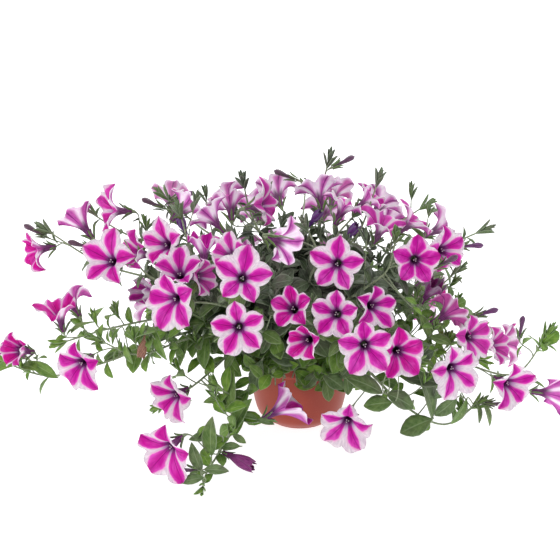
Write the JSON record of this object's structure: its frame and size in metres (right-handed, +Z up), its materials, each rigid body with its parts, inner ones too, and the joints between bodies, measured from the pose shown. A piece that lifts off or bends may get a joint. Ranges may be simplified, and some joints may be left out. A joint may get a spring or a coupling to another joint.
{
  "type": "potted calibrachoa",
  "caption": "Flowering calibrachoa in a small round plastic pot: a wide mound of leafy stems with striped trumpet blooms, some stems trailing in front.",
  "frame": {"origin": "centre of the pot's flat foot, on the surface that it stands on", "axes": "+Z up, +X to the right and +Y to the back as seen from the front, where the longest stems trail forward"},
  "size_m": [0.4588, 0.3373, 0.2133],
  "materials": {
    "pot": "satin terracotta-coloured moulded plastic",
    "soil": "rough potting compost",
    "foliage": "softly hairy green leaves and stems",
    "petal": "matt petals, white with magenta stripes"
  },
  "bodies": {
    "root": {"pot": "pot", "soil": "soil", "spray_left_tip": "foliage", "bloom_left_tip_1": "petal", "spray_left_crest": "foliage", "spray_left_face": "foliage", "bloom_left_face_1": "petal", "spray_left_shoulder": "foliage", "bloom_left_shoulder_1": "petal", "spray_left_top": "foliage", "spray_back_top": "foliage", "spray_left_low": "foliage", "spray_left_trail": "foliage", "bloom_left_trail_1": "petal", "spray_left_front": "foliage", "bloom_left_front_1": "petal", "spray_low_left": "foliage", "bloom_low_left_1": "petal", "spray_front_left": "foliage", "bloom_front_left_1": "petal", "spray_front_crest": "foliage", "bloom_front_crest_1": "petal", "spray_front_mid": "foliage", "bloom_front_mid_1": "petal", "spray_front_trail": "foliage", "bloom_front_trail_1": "petal", "bloom_front_trail_2": "petal", "spray_front_right": "foliage", "bloom_front_right_1": "petal", "bloom_front_right_2": "petal", "spray_front_top": "foliage", "bloom_front_top_1": "petal", "spray_front_low": "foliage", "bloom_front_low_1": "petal", "bloom_front_low_2": "petal", "spray_right_face": "foliage", "bloom_right_face_1": "petal", "bloom_right_face_2": "petal", "spray_right_top": "foliage", "spray_top_centre": "foliage", "spray_right_crest": "foliage", "bloom_right_crest_1": "petal", "spray_right_mid": "foliage", "bloom_right_mid_1": "petal", "spray_right_low": "foliage", "bloom_right_low_1": "petal", "spray_right_trail": "foliage", "bloom_right_trail_1": "petal", "bloom_right_trail_2": "petal", "spray_right_ground": "foliage", "bloom_right_ground_1": "petal", "spray_back_low_1": "foliage", "spray_back_low_2": "foliage", "spray_back_low_3": "foliage", "spray_back_low_4": "foliage", "spray_back_high_1": "foliage", "spray_back_high_2": "foliage", "spray_back_high_3": "foliage", "spray_back_high_4": "foliage"}
  },
  "joints": []
}
